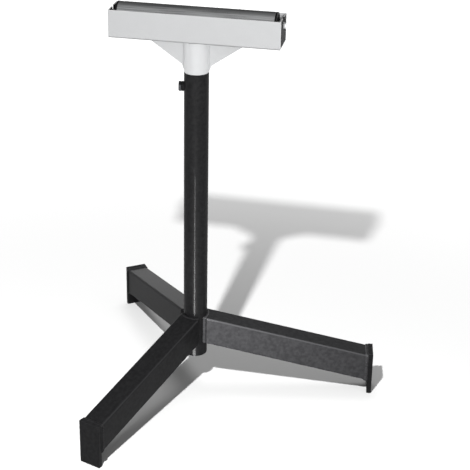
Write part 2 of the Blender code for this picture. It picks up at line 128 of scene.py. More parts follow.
# Soft lamps for the stand alone. An aim is the height at the post's axis that a lamp points to
FRONT_LAMP_FROM_POST = (0.5, -2.9, 0.45)
FRONT_LAMP_WIDTH = 4.0
FRONT_LAMP_HEIGHT = 0.8
FRONT_LAMP_POWER = 47.0
FRONT_LAMP_AIM = 0.6
BACK_LAMP_FROM_POST = (0.0, 2.9, 0.45)
BACK_LAMP_POWER = 26.0
BACK_LAMP_AIM = 0.6
CHANNEL_LAMP_FROM_POST = (1.9, -1.5, 2.6)
CHANNEL_LAMP_SIZE = 1.6
CHANNEL_LAMP_POWER = 84.0
CHANNEL_LAMP_AIM = 0.8
COLLAR_LAMP_OUT = 2.4
COLLAR_LAMP_FORWARD = -0.8
COLLAR_LAMP_HEIGHT = 0.75
COLLAR_LAMP_SIZE = 1.0
COLLAR_LAMP_POWER = 16.0
POST_LAMP_FROM_POST = (0.85, -2.3, 0.9)
POST_LAMP_SIZE = 0.5
POST_LAMP_POWER = 18.0
POST_LAMP_AIM = 0.4
LEG_LAMP_FROM_POST = (0.03, -0.55, 0.26)
LEG_LAMP_SIZE = 0.3
LEG_LAMP_POWER = 18.0
LEG_LAMP_AIM = 0.1
LEG_TOP_LAMP_HEIGHT = 2.2
LEG_TOP_LAMP_SIZE = 1.2
LEG_TOP_LAMP_POWER = 32.0

# A strip on the paper, out from the post
STRIP_TURN = math.radians(-86.5)
STRIP_FROM = 0.14
STRIP_LENGTH = 1.0
STRIP_WIDTH = 0.07
STRIP_POWER = 19.0
STRIP_ABOVE_PAPER = 0.002

# The dome of soft light and the paper
DOME_BRIGHT_SIDE = (0.40, -0.75, 0.60)
DOME_LEVELS = ((0.22, 0.07), (0.45, 0.15), (0.66, 0.36), (0.85, 0.72))
BACKDROP_TOP = 0.18
PAPER_SIZE = 30.0
PAPER_GLOW_CENTRE = -0.6
PAPER_GLOW_FROM = 0.7
PAPER_GLOW_TO = 3.4
PAPER_GLOW_LEAST = 0.03
WHITE = (1.0, 1.0, 1.0, 1.0)


def linear(hex_colour):
    """An sRGB hex colour as the linear colour that a shader takes."""
    channels = [int(hex_colour[i:i + 2], 16) / 255 for i in (1, 3, 5)]
    return tuple(c / 12.92 if c <= 0.04045 else ((c + 0.055) / 1.055) ** 2.4 for c in channels) + (1.0,)


def add(material, kind, settings=None, links=None):
    """Adds one node to a material, with its settings and the outputs that feed it.
    An input is given by its name, or by its number where names repeat."""
    node = material.node_tree.nodes.new(kind)
    for name, value in (settings or {}).items():
        if isinstance(name, int) or name in node.inputs:
            node.inputs[name].default_value = value
        else:
            setattr(node, name, value)
    for name, output in (links or {}).items():
        material.node_tree.links.new(output, node.inputs[name])
    return node


def new_material(name):
    material = bpy.data.materials.new(name)
    material.use_nodes = True
    return material


def set_shader(material, even, varied):
    """Sets what is the same all over the surface on the shader's own sockets, and links what varies."""
    shader = material.node_tree.nodes["Principled BSDF"]
    for name, value in even.items():
        shader.inputs[name].default_value = value
    for name, output in varied.items():
        material.node_tree.links.new(output, shader.inputs[name])


def per_metre(millimetres):
    """A noise scale whose blobs are about this many millimetres across."""
    return 1000.0 / millimetres


def paint_relief(material, grain, lumps, depth):
    """The skin of a baked coat: fine orange peel over a slow unevenness, with sizes in millimetres."""
    place = add(material, "ShaderNodeTexCoord").outputs["Object"]
    peel = add(material, "ShaderNodeTexNoise", {"Scale": per_metre(grain), "Detail": 2.0},
               {"Vector": place}).outputs["Fac"]
    slow = add(material, "ShaderNodeTexNoise", {"Scale": per_metre(lumps), "Detail": 3.0},
               {"Vector": place}).outputs["Fac"]
    height = add(material, "ShaderNodeMath", {"operation": "MULTIPLY_ADD", 1: 3.0}, {0: slow, 2: peel})
    bump = add(material, "ShaderNodeBump", {"Strength": 0.5, "Distance": depth},
               {"Height": height.outputs[0]})
    set_shader(material, {}, {"Normal": bump.outputs["Normal"]})
    return {"peel": peel, "slow": slow}


def facing_up(material, none_at, full_at):
    """How far a surface faces up: from 0 to 1 as its normal's Z goes from one level to the other."""
    normal = add(material, "ShaderNodeNewGeometry").outputs["Normal"]
    upward = add(material, "ShaderNodeSeparateXYZ", {}, {"Vector": normal}).outputs["Z"]
    return add(material, "ShaderNodeMapRange", {"interpolation_type": "SMOOTHSTEP",
               "From Min": none_at, "From Max": full_at}, {"Value": upward}).outputs["Result"]


def draw_marks(material, width, detail, squeezed):
    """The marks that drawing leaves on a tube: noise of this width in millimetres, pulled out along it."""
    place = add(material, "ShaderNodeTexCoord").outputs["Object"]
    long_way = add(material, "ShaderNodeMapping", {"Scale": (1.0, 1.0, squeezed)}, {"Vector": place})
    return add(material, "ShaderNodeTexNoise", {"Scale": per_metre(width), "Detail": detail},
               {"Vector": long_way.outputs["Vector"]}).outputs["Fac"]


def black_powder_coat():
    """Polyester powder coat, sprayed and baked: satin, near black, with a faint orange peel.
    Slow changes of tone make the flat sides look mottled, and the corner roundings that face up are painted a
    lighter grey: a painted highlight."""
    material = new_material("black_powder_coat")
    skin = paint_relief(material, grain=2.2, lumps=7.0, depth=0.00006)
    cloud = add(material, "ShaderNodeMapRange", {"From Min": 0.35, "From Max": 0.65}, {"Value": skin["slow"]})
    tint = add(material, "ShaderNodeMix", {"data_type": "RGBA", 6: linear("#1d1d1e"), 7: linear("#252526")},
               {"Factor": cloud.outputs["Result"]})
    # Painted highlight: corner roundings that face up get a lighter grey, standing in for the light they
    # catch from above
    corner = add(material, "ShaderNodeMath", {"operation": "MULTIPLY"},
                 {0: facing_up(material, 0.30, 0.55), 1: facing_up(material, 0.94, 0.80)})
    painted_highlight = add(material, "ShaderNodeMix", {"data_type": "RGBA", 7: linear("#303031")},
                 {"Factor": corner.outputs[0], 6: tint.outputs[2]})
    gloss = add(material, "ShaderNodeMapRange", {"To Min": 0.38, "To Max": 0.52}, {"Value": skin["slow"]})
    set_shader(material, {"Specular IOR Level": 0.025, "Coat Weight": 0.055, "Coat Roughness": 0.09},
               {"Base Color": painted_highlight.outputs[2], "Roughness": gloss.outputs["Result"]})
    return material


def light_powder_coat():
    """Polyester powder coat in a light grey, semi-gloss: smooth, with soft broad highlights."""
    material = new_material("light_grey_powder_coat")
    skin = paint_relief(material, grain=1.8, lumps=22.0, depth=0.00003)
    tint = add(material, "ShaderNodeMix", {"data_type": "RGBA", 6: linear("#d8d9da"), 7: linear("#dcddde")},
               {"Factor": skin["slow"]})
    gloss = add(material, "ShaderNodeMapRange", {"To Min": 0.32, "To Max": 0.40}, {"Value": skin["peel"]})
    set_shader(material, {}, {"Base Color": tint.outputs[2], "Roughness": gloss.outputs["Result"]})
    return material


def dark_plate_enamel():
    """Satin enamel on the sheet-steel end plates: nearly black, with a painted highlight: the faces that
    point up, along the upper edge, are painted pale."""
    material = new_material("dark_satin_enamel")
    skin = paint_relief(material, grain=1.6, lumps=9.0, depth=0.00004)
    tint = add(material, "ShaderNodeMix", {"data_type": "RGBA", 6: linear("#151516"), 7: linear("#1c1c1d")},
               {"Factor": skin["slow"]})
    # Painted highlight: faces that point up, along the plate's top edge, are painted pale as if catching
    # light
    painted_highlight = add(material, "ShaderNodeMix", {"data_type": "RGBA", 7: linear("#e2e2e3")},
                 {"Factor": facing_up(material, 0.80, 0.97), 6: tint.outputs[2]})
    set_shader(material, {"Roughness": 0.62, "Specular IOR Level": 0.06}, {"Base Color": painted_highlight.outputs[2]})
    return material


def ground_roller_steel():
    """Steel tube, drawn and polished along its length: faint streaks, and a grey that follows the light."""
    material = new_material("ground_steel_tube")
    marks = draw_marks(material, 1.4, 4.0, 0.015)
    streaks = add(material, "ShaderNodeMapRange", {"From Min": 0.36, "From Max": 0.64}, {"Value": marks})
    tint = add(material, "ShaderNodeMix", {"data_type": "RGBA", 6: linear("#8c8d8e"), 7: linear("#bcbdbe")},
               {"Factor": streaks.outputs["Result"]})
    gloss = add(material, "ShaderNodeMapRange", {"To Min": 0.18, "To Max": 0.42}, {"Value": marks})
    bump = add(material, "ShaderNodeBump", {"Strength": 0.35, "Distance": 0.00002}, {"Height": marks})
    set_shader(material, {"Metallic": 1.0}, {"Base Color": tint.outputs[2],
               "Roughness": gloss.outputs["Result"], "Normal": bump.outputs["Normal"]})
    return material


def turned_steel():
    """Bright steel from the lathe: brighter than the roller, with faint tool marks."""
    material = new_material("turned_bright_steel")
    place = add(material, "ShaderNodeTexCoord").outputs["Object"]
    marks = add(material, "ShaderNodeTexNoise", {"Scale": per_metre(0.8), "Detail": 3.0}, {"Vector": place})
    gloss = add(material, "ShaderNodeMapRange", {"To Min": 0.22, "To Max": 0.34},
                {"Value": marks.outputs["Fac"]})
    set_shader(material, {"Base Color": linear("#c8c9ca"), "Metallic": 1.0},
               {"Roughness": gloss.outputs["Result"]})
    return material


def drawn_mast_steel():
    """Cold-drawn steel tube, lightly oiled: a plain grey with long faint streaks down its length."""
    material = new_material("cold_drawn_steel")
    marks = draw_marks(material, 1.2, 5.0, 0.01)
    streaks = add(material, "ShaderNodeMapRange", {"From Min": 0.34, "From Max": 0.66}, {"Value": marks})
    tint = add(material, "ShaderNodeMix", {"data_type": "RGBA", 6: linear("#7d7e7f"), 7: linear("#a6a7a8")},
               {"Factor": streaks.outputs["Result"]})
    gloss = add(material, "ShaderNodeMapRange", {"To Min": 0.22, "To Max": 0.40}, {"Value": marks})
    set_shader(material, {"Metallic": 1.0},
               {"Base Color": tint.outputs[2], "Roughness": gloss.outputs["Result"]})
    return material


def black_oxide_steel():
    """Black-oxidised screw steel: dark, with a dull metal shine on its edges."""
    material = new_material("black_oxide_steel")
    place = add(material, "ShaderNodeTexCoord").outputs["Object"]
    cloud = add(material, "ShaderNodeTexNoise", {"Scale": per_metre(3.0), "Detail": 3.0}, {"Vector": place})
    tint = add(material, "ShaderNodeMix", {"data_type": "RGBA", 6: linear("#333436"), 7: linear("#434446")},
               {"Factor": cloud.outputs["Fac"]})
    set_shader(material, {"Roughness": 0.40, "Metallic": 0.9}, {"Base Color": tint.outputs[2]})
    return material


def moulded_nylon():
    """Injection-moulded black nylon: matt and very fine-grained."""
    material = new_material("moulded_black_nylon")
    place = add(material, "ShaderNodeTexCoord").outputs["Object"]
    grain = add(material, "ShaderNodeTexNoise", {"Scale": per_metre(0.7), "Detail": 2.0}, {"Vector": place})
    bump = add(material, "ShaderNodeBump", {"Strength": 0.4, "Distance": 0.00004},
               {"Height": grain.outputs["Fac"]})
    set_shader(material, {"Base Color": linear("#101011"), "Roughness": 0.55, "Specular IOR Level": 0.2},
               {"Normal": bump.outputs["Normal"]})
    return material


def dress(piece, material, body, slot, *nodes):
    """Gives a piece its finish, lets it ride on its body and stand for its CAD nodes."""
    piece.data.materials.clear()
    piece.data.materials.append(material)
    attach(piece, body)
    if nodes:
        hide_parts(*nodes)
    return piece


def repaint(node, material):
    """Gives a CAD node that stays in sight its finish."""
    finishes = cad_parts[node].data.materials
    finishes.clear()
    finishes.append(material)


def show(name, mesh, place=Matrix.Identity(4)):
    piece = bpy.data.objects.new(name, mesh)
    bpy.context.scene.collection.objects.link(piece)
    piece.matrix_world = place
    return piece


def mesh_of(form, name):
    """The mesh that has been built up in a bmesh, which ends here."""
    mesh = bpy.data.meshes.new(name)
    form.to_mesh(mesh)
    form.free()
    return mesh


def settle(piece):
    """Turns a piece's modifiers into its mesh."""
    bpy.context.view_layer.update()
    evaluated = piece.evaluated_get(bpy.context.evaluated_depsgraph_get())
    mesh = bpy.data.meshes.new_from_object(evaluated)
    piece.modifiers.clear()
    piece.data = mesh
    return piece


def smooth(piece):
    """Smooth shading that keeps flats flat and edges crisp."""
    piece.data.shade_smooth()
    piece.data.set_sharp_from_angle(angle=SHARP_EDGES_ABOVE)
    even = piece.modifiers.new("even shading", "WEIGHTED_NORMAL")
    even.keep_sharp = True
    return piece


def soften(piece, width, segments=3):
    """Rounds the edges of a piece by a real edge radius."""
    bevel = piece.modifiers.new("softened edges", "BEVEL")
    bevel.width = width
    bevel.segments = segments
    bevel.limit_method = "ANGLE"
    bevel.angle_limit = ROUND_EDGES_ABOVE
    bevel.use_clamp_overlap = True
    settle(piece)
    return smooth(piece)


def arc(centre, radius, start, end):
    angles = [start + (end - start) * i / BEND_STEPS for i in range(BEND_STEPS + 1)]
    return [(centre[0] + radius * math.cos(a), centre[1] + radius * math.sin(a)) for a in angles]


def blank(outline, thickness):
    """Flat stock cut to an outline in XY, centred on its own thickness."""
    form = bmesh.new()
    corners = [form.verts.new((x, y, -thickness / 2)) for x, y in outline]
    face = form.faces.new(corners)
    raised = bmesh.ops.extrude_face_region(form, geom=[face])["geom"]
    lifted = [v for v in raised if isinstance(v, bmesh.types.BMVert)]
    bmesh.ops.translate(form, verts=lifted, vec=(0, 0, thickness))
    bmesh.ops.recalc_face_normals(form, faces=form.faces)
    return mesh_of(form, "blank")


def turned(name, profile, place, edge, steps=TURNED_STEPS, closed=True):
    """A turned piece about its local Z, its profile's corners rounded by the edge radius."""
    mesh = bpy.data.meshes.new(name)
    points = [(radius, 0.0, height) for radius, height in profile]
    edges = [(i, i + 1) for i in range(len(points) - 1)]
    if closed:
        edges.append((len(points) - 1, 0))
    mesh.from_pydata(points, edges, [])
    piece = show(name, mesh, place)
    screw = piece.modifiers.new("turn", "SCREW")
    screw.steps = steps
    screw.render_steps = steps
    screw.use_merge_vertices = True
    screw.merge_threshold = SEAM_CLOSES_WITHIN
    return soften(piece, edge)


def tube_profile(outer, inner, top, bottom):
    return [(outer, top), (outer, bottom), (inner, bottom), (inner, top)]


def weld_bead(name, path, radius, pitch, closed=True, seed=0):
    """A fillet weld along a path: a half-buried rope of overlapping ripples."""
    chance = random.Random(seed)
    form = bmesh.new()
    rings = []
    count = len(path)
    travelled = 0.0
    for i, point in enumerate(path):
        before = path[i - 1] if i or closed else point
        after = path[(i + 1) % count] if i + 1 < count or closed else point
        along = (after - before).normalized()
        if i:
            travelled += (point - path[i - 1]).length
        ripple = abs(math.sin(math.pi * travelled / pitch)) ** RIPPLE_FULLNESS
        girth = radius * (RIPPLE_LEAST + RIPPLE_RISE * ripple + chance.uniform(-RIPPLE_CHANCE, RIPPLE_CHANCE))
        side = along.cross(ASKEW).normalized()
        up = side.cross(along)
        ring = []
        for k in range(WELD_SIDES):
            angle = 2 * math.pi * k / WELD_SIDES
            ring.append(form.verts.new(point + girth * (math.cos(angle) * side + math.sin(angle) * up)))
        rings.append(ring)
    for i in range(count if closed else count - 1):
        here = rings[i]
        there = rings[(i + 1) % count]
        for k in range(WELD_SIDES):
            beside = (k + 1) % WELD_SIDES
            form.faces.new((here[k], here[beside], there[beside], there[k]))
    if not closed:
        form.faces.new(rings[0])
        form.faces.new(rings[-1])
    bmesh.ops.recalc_face_normals(form, faces=form.faces)
    mesh = mesh_of(form, name)
    mesh.shade_smooth()
    return show(name, mesh)


def straight_path(start, end):
    """Points of a straight weld."""
    run = end - start
    count = max(int(run.length / WELD_SPACING), 2)
    return [start + run * i / count for i in range(count + 1)]


def closed_path(points, spacing):
    """The same closed path with points at an even spacing."""
    count = len(points)
    lengths = [(points[(i + 1) % count] - point).length for i, point in enumerate(points)]
    total = sum(lengths)
    steps = max(int(total / spacing), 8)
    result = []
    i = 0
    done = 0.0
    for k in range(steps):
        target = total * k / steps
        while done + lengths[i] < target:
            done += lengths[i]
            i += 1
        result.append(points[i].lerp(points[(i + 1) % count], (target - done) / lengths[i]))
    return result


def corners_of(node):
    """A CAD node's lowest and highest corners at rest."""
    return [Vector(corner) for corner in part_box(node)]


def middle(node):
    low, high = corners_of(node)
    return (low + high) / 2


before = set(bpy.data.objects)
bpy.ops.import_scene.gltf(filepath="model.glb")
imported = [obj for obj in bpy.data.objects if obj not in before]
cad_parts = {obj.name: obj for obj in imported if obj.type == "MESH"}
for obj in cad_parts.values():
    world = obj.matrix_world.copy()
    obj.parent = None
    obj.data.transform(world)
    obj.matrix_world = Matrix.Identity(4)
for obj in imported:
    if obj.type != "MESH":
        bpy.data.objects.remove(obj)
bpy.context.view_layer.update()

BLACK = black_powder_coat()
LIGHT = light_powder_coat()
PLATE = dark_plate_enamel()
ROLLER = ground_roller_steel()
BRIGHT = turned_steel()
MAST = drawn_mast_steel()
OXIDE = black_oxide_steel()
NYLON = moulded_nylon()

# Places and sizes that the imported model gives
POST_LOW, POST_HIGH = corners_of("post_tube")
POST_PLACE = middle("post_tube")
POST_PLACE.z = 0.0
POST_RADIUS = (POST_HIGH.x - POST_LOW.x) / 2
ROLLER_LOW, ROLLER_HIGH = corners_of("roller_tube")
ROLLER_CENTRE = middle("roller_tube")
ROLLER_RADIUS = (ROLLER_HIGH.z - ROLLER_LOW.z) / 2
CHANNEL_LOW, CHANNEL_HIGH = corners_of("channel")
ON_POST = Matrix.Translation(POST_PLACE)
ON_ROLLER = Matrix.Translation(ROLLER_CENTRE) @ Matrix.Rotation(math.pi / 2, 4, "Y")


def post():
    profile = tube_profile(POST_RADIUS, POST_RADIUS - POST_WALL, POST_HIGH.z, POST_LOW.z)
    piece = turned("painted_post", profile, ON_POST, TURNED_EDGE)
    return dress(piece, BLACK, "base", "black_paint", "post_tube")


def leg_frame(side):
    """The leg's own frame at the post's axis: X out along the floor, and how far its plate stands."""
    away = middle("foot_plate_" + side) - POST_PLACE
    away.z = 0.0
    turn = math.atan2(away.y, away.x)
    reach = away.length - FOOT_THICKNESS / 2 - JOINT_GAP
    return ON_POST @ Matrix.Rotation(turn, 4, "Z"), reach


def leg_section(inset=0.0):
    """The box section's outline: width first, then height square to the leg."""
    half_width = LEG_WIDTH / 2 - inset
    half_height = LEG_HEIGHT / 2 - inset
    corner = max(LEG_CORNER - inset, LEG_CORNER_INSIDE)
    outline = []
    for i, (sx, sy) in enumerate(((1, 1), (-1, 1), (-1, -1), (1, -1))):
        centre = (sx * (half_width - corner), sy * (half_height - corner))
        outline += arc(centre, corner, i * math.pi / 2, (i + 1) * math.pi / 2)
    return outline


def leg_point(u, v, out, reach):
    """A point of the leg's skin: u across, v square to the leg, at a distance out along the floor."""
    middle_at_foot = LEG_TOP_AT_FOOT - LEG_HEIGHT / 2 / math.cos(LEG_SLOPE)
    height = middle_at_foot + v / math.cos(LEG_SLOPE) + (reach - out) * math.tan(LEG_SLOPE)
    return Vector((out, u, height))


def leg(side, place, reach):
    """A sloping box tube with upright ends: closed where it butts on the post, open at the foot plate."""
    form = bmesh.new()
    far_ends = []
    for inset in (0.0, LEG_WALL):
        start = POST_RADIUS + JOINT_GAP + inset
        section = leg_section(inset)
        near = [form.verts.new(leg_point(u, v, start, reach)) for u, v in section]
        far = [form.verts.new(leg_point(u, v, reach, reach)) for u, v in section]
        for i in range(len(section)):
            after = (i + 1) % len(section)
            form.faces.new((near[i], near[after], far[after], far[i]))
        form.faces.new(near)
        far_ends.append(far)
    outer, inner = far_ends
    for i in range(len(outer)):
        after = (i + 1) % len(outer)
        form.faces.new((outer[i], outer[after], inner[after], inner[i]))
    bmesh.ops.recalc_face_normals(form, faces=form.faces)
    piece = soften(show("painted_leg_" + side, mesh_of(form, "leg"), place), SAWN_EDGE)
    return dress(piece, BLACK, "base", "black_paint", "leg_" + side)


def post_weld_path(place, reach):
    """Round the leg's end at the post: along the post's curve above and below, and down each wedge."""
    half = LEG_HEIGHT / 2 - POST_WELD_SUNK
    path = []
    for v, way in ((half, 1), (-half, -1)):
        for i in range(POST_WELD_STEPS + 1):
            share = way * (2 * i / POST_WELD_STEPS - 1)
            angle = POST_WELD_SPREAD * share
            radius = POST_RADIUS + POST_WELD_OUT + POST_WELD_FLARE * share ** 2
            path.append(place @ leg_point(radius * math.sin(angle), v, radius * math.cos(angle), reach))
    return path


def leg_welds(side, place, reach):
    """One bead round the leg at its plate, one round its end at the post, and a thick one under the leg
    at the plate."""
    out = reach - PLATE_WELD_OUT
    at_plate = [place @ leg_point(u, v, out, reach) for u, v in leg_section(PLATE_WELD_SUNK)]
    outer = weld_bead("plate_weld_" + side, closed_path(at_plate, WELD_SPACING),
                      PLATE_WELD_RADIUS, PLATE_WELD_PITCH, seed=1)
    inner = weld_bead("post_weld_" + side, closed_path(post_weld_path(place, reach), POST_WELD_SPACING),
                      POST_WELD_RADIUS, POST_WELD_PITCH, seed=2)
    start, end = [place @ leg_point(sign * (LEG_WIDTH / 2 - UNDER_WELD_RADIUS), -LEG_HEIGHT / 2, out, reach)
                  for sign in (-1, 1)]
    under = weld_bead("under_weld_" + side, straight_path(start, end),
                      UNDER_WELD_RADIUS, PLATE_WELD_PITCH, closed=False, seed=3)
    return [dress(bead, BLACK, "base", "black_paint") for bead in (outer, inner, under)]


def foot_plate(side, place, reach):
    """An upright plate across the leg's end, which stands on the floor."""
    low, high = corners_of("foot_plate_" + side)
    height = high.z - low.z
    half = FOOT_WIDTH / 2
    outline = [(-half, 0.0), (half, 0.0), (half, height), (-half, height)]
    stand = Matrix(((0, 0, 1, 0), (1, 0, 0, 0), (0, 1, 0, 0), (0, 0, 0, 1)))
    at = place @ Matrix.Translation((reach + JOINT_GAP + FOOT_THICKNESS / 2, 0, 0)) @ stand
    piece = soften(show("painted_foot_" + side, blank(outline, FOOT_THICKNESS), at), FOOT_EDGE)
    return dress(piece, BLACK, "base", "black_paint", "foot_plate_" + side)


def clamp_frame():
    """The clamp's own frame: Z outwards along the screw, from the post's axis."""
    head = middle("clamp_nut")
    away = head - POST_PLACE
    turn = math.atan2(away.y, away.x)
    return (Matrix.Translation((POST_PLACE.x, POST_PLACE.y, head.z)) @ Matrix.Rotation(turn, 4, "Z")
            @ Matrix.Rotation(math.pi / 2, 4, "Y"))


def hexagon(flats):
    corner = flats / 2 / math.cos(math.pi / 6)
    return [(corner * math.cos(math.pi / 3 * i), corner * math.sin(math.pi / 3 * i)) for i in range(6)]


def clamp():
    """The nut on the post's wall and the screw's head, both with softened corners."""
    place = clamp_frame()
    face = POST_RADIUS + NUT_STAND_OUT
    nut_length = NUT_STAND_OUT + POST_WALL
    at = place @ Matrix.Translation((0, 0, face - nut_length / 2))
    nut = soften(show("painted_clamp_nut", blank(hexagon(CLAMP_FLATS), nut_length), at), NUT_EDGE)
    dress(nut, BLACK, "base", "black_paint", "clamp_nut")
    at = place @ Matrix.Translation((0, 0, face + JOINT_GAP + CLAMP_HEAD_THICKNESS / 2))
    head = show("clamp_screw_head", blank(hexagon(CLAMP_FLATS), CLAMP_HEAD_THICKNESS), at)
    dress(soften(head, SCREW_HEAD_EDGE), OXIDE, "clamp", "dark_steel", "clamp_screw")


def mast():
    low, high = corners_of("mast_tube")
    radius = (high.x - low.x) / 2
    profile = tube_profile(radius, radius - MAST_WALL, high.z, low.z)
    piece = turned("drawn_mast", profile, ON_POST, TURNED_EDGE)
    return dress(piece, MAST, "mast", "bare_steel", "mast_tube")


def collar():
    low, high = corners_of("collar_tube")
    profile = tube_profile(POST_RADIUS, POST_RADIUS - POST_WALL, high.z, low.z)
    piece = turned("painted_collar", profile, ON_POST, TURNED_EDGE)
    return dress(piece, LIGHT, "head", "head_paint", "collar_tube")


def collar_weld():
    """Round the collar's top, under the channel."""
    path = []
    for i in range(COLLAR_WELD_STEPS):
        angle = 2 * math.pi * i / COLLAR_WELD_STEPS
        out = Vector((math.cos(angle), math.sin(angle), 0.0)) * POST_RADIUS
        path.append(POST_PLACE + out + Vector((0.0, 0.0, CHANNEL_LOW.z)))
    bead = weld_bead("collar_weld", path, HEAD_WELD_RADIUS, HEAD_WELD_PITCH, seed=4)
    dress(bead, LIGHT, "head", "head_paint")


def channel():
    """The folded U: its outline runs up one wall's outside, down its inside, and along the web and back."""
    half = (CHANNEL_HIGH.y - CHANNEL_LOW.y) / 2
    height = CHANNEL_HIGH.z - CHANNEL_LOW.z
    bend = CHANNEL_BEND
    inner_bend = CHANNEL_BEND - CHANNEL_WALL
    inner = half - CHANNEL_WALL
    quarter = math.pi / 2
    outline = [(half, height), (inner, height)]
    outline += arc((half - bend, bend), inner_bend, 0, -quarter)
    outline += arc((bend - half, bend), inner_bend, -quarter, -2 * quarter)
    outline += [(-inner, height), (-half, height)]
    outline += arc((bend - half, bend), bend, 2 * quarter, 3 * quarter)
    outline += arc((half - bend, bend), bend, -quarter, 0)
    centre = (CHANNEL_LOW + CHANNEL_HIGH) / 2
    lie = Matrix(((0, 0, 1, centre.x), (1, 0, 0, centre.y), (0, 1, 0, CHANNEL_LOW.z), (0, 0, 0, 1)))
    piece = show("folded_channel", blank(outline, CHANNEL_HIGH.x - CHANNEL_LOW.x), lie)
    return dress(soften(piece, SHEET_EDGE, 2), LIGHT, "head", "head_paint", "channel")


def axle():
    """The fixed axle: softened ends, and two milled flats at each end."""
    low, high = corners_of("axle")
    half = (high.x - low.x) / 2
    radius = (high.z - low.z) / 2
    profile = [(0, half), (radius, half), (radius, -half), (0, -half)]
    piece = turned("turned_axle", profile, ON_ROLLER, TURNED_EDGE, steps=AXLE_STEPS, closed=False)
    cutters = []
    for end in (-1, 1):
        for face in (-1, 1):
            form = bmesh.new()
            bmesh.ops.create_cube(form, size=1.0)
            bmesh.ops.scale(form, vec=(radius * 4, radius, AXLE_FLAT_LENGTH * 2), verts=form.verts)
            at = ON_ROLLER @ Matrix.Translation((0, face * (AXLE_FLAT_WIDTH + radius) / 2, end * half))
            cutter = show("milling", mesh_of(form, "milling"), at)
            cutters.append(cutter)
            cut = piece.modifiers.new("flat", "BOOLEAN")
            cut.object = cutter
            cut.solver = "EXACT"
    piece.modifiers.remove(piece.modifiers["even shading"])
    settle(piece)
    for cutter in cutters:
        bpy.data.objects.remove(cutter, do_unlink=True)
    smooth(piece)
    dress(piece, BRIGHT, "head", "bare_steel", "axle")


def roller():
    half = (ROLLER_HIGH.x - ROLLER_LOW.x) / 2
    profile = tube_profile(ROLLER_RADIUS, ROLLER_RADIUS - ROLLER_WALL, half, -half)
    piece = turned("ground_roller_tube", profile, ON_ROLLER, ROLLER_EDGE)
    dress(piece, ROLLER, "roller", "roller_steel", "roller_tube")


def gusset(side, sign):
    """A triangular plate with a blunt nose, between the collar and the channel."""
    low, high = corners_of("gusset_" + side)
    root = POST_RADIUS + JOINT_GAP
    reach = max(abs(low.x - POST_PLACE.x), abs(high.x - POST_PLACE.x))
    nose = (root + GUSSET_NOSE_OUT, low.z + GUSSET_NOSE_UP)
    outline = [(root, high.z), (root, low.z), nose, (reach, high.z)]
    stand = Matrix(((sign, 0, 0, 0), (0, 0, 1, 0), (0, 1, 0, 0), (0, 0, 0, 1)))
    piece = show("painted_gusset_" + side, blank(outline, high.y - low.y), ON_POST @ stand)
    dress(soften(piece, SHEET_EDGE), LIGHT, "head", "head_paint", "gusset_" + side)


def gusset_welds(side, sign):
    """Both sides of a gusset: up along the collar and out along the channel's underside."""
    low, high = corners_of("gusset_" + side)
    reach = max(abs(low.x - POST_PLACE.x), abs(high.x - POST_PLACE.x))
    half = (high.y - low.y) / 2
    root = POST_PLACE.x + sign * math.sqrt(POST_RADIUS ** 2 - half ** 2)
    tip = POST_PLACE.x + sign * (reach - GUSSET_WELD_STOP)
    for seed, (face, word) in enumerate(((-1, "front"), (1, "back")), 5):
        y = POST_PLACE.y + face * half
        path = straight_path(Vector((root, y, low.z + GUSSET_WELD_START)), Vector((root, y, high.z)))
        path += straight_path(Vector((root, y, high.z)), Vector((tip, y, high.z)))[1:]
        bead = weld_bead("gusset_weld_%s_%s" % (side, word), path, HEAD_WELD_RADIUS, HEAD_WELD_PITCH,
                         closed=False, seed=seed)
        dress(bead, LIGHT, "head", "head_paint")


def end_plate(side):
    """A plate let into the channel's end, with a slot from above for the axle's flats."""
    low, high = corners_of("end_plate_" + side)
    half = (high.y - low.y) / 2
    slot = AXLE_FLAT_WIDTH / 2 + JOINT_GAP
    seat = ROLLER_CENTRE.z - AXLE_RADIUS - JOINT_GAP
    corner = END_PLATE_CORNER
    outline = [(half, low.z + corner), (half, high.z), (slot, high.z), (slot, seat), (-slot, seat)]
    outline += [(-slot, high.z), (-half, high.z), (-half, low.z + corner), (corner - half, low.z)]
    outline += [(half - corner, low.z)]
    centre = (low + high) / 2
    lie = Matrix(((0, 0, 1, centre.x), (1, 0, 0, centre.y), (0, 1, 0, 0), (0, 0, 0, 1)))
    piece = show("painted_end_plate_" + side, blank(outline, high.x - low.x), lie)
    dress(soften(piece, SHEET_EDGE, 2), PLATE, "head", "plate_paint", "end_plate_" + side)


def cap(side, sign):
    """A moulded cap: a flange over the tube's end, a spigot inside it, and a pocket for the bearing."""
    low, high = corners_of("roller_cap_" + side)
    outer_end = abs((high.x if sign > 0 else low.x) - ROLLER_CENTRE.x)
    inner_end = abs((low.x if sign > 0 else high.x) - ROLLER_CENTRE.x)
    flange = outer_end - CAP_FLANGE
    spigot = ROLLER_RADIUS - ROLLER_WALL - JOINT_GAP
    profile = [(CAP_HOLE_RADIUS, outer_end), (ROLLER_RADIUS, outer_end), (ROLLER_RADIUS, flange)]
    profile += [(spigot, flange), (spigot, inner_end), (CAP_POCKET_RADIUS, inner_end)]
    profile += [(CAP_POCKET_RADIUS, flange), (CAP_HOLE_RADIUS, flange)]
    turn = Matrix.Identity(4) if sign > 0 else Matrix.Rotation(math.pi, 4, "X")
    piece = turned("moulded_cap_" + side, profile, ON_ROLLER @ turn, MOULDED_EDGE)
    dress(piece, NYLON, "roller", "black_plastic", "roller_cap_" + side)


def bearings_and_rings():
    """Bearings and retaining rings keep their solids and get their steel."""
    for side in ("left", "right"):
        for node in ("bearing_inner_race_", "bearing_outer_race_", "ball_cage_"):
            repaint(node + side, BRIGHT)
        repaint("retaining_ring_" + side, OXIDE)


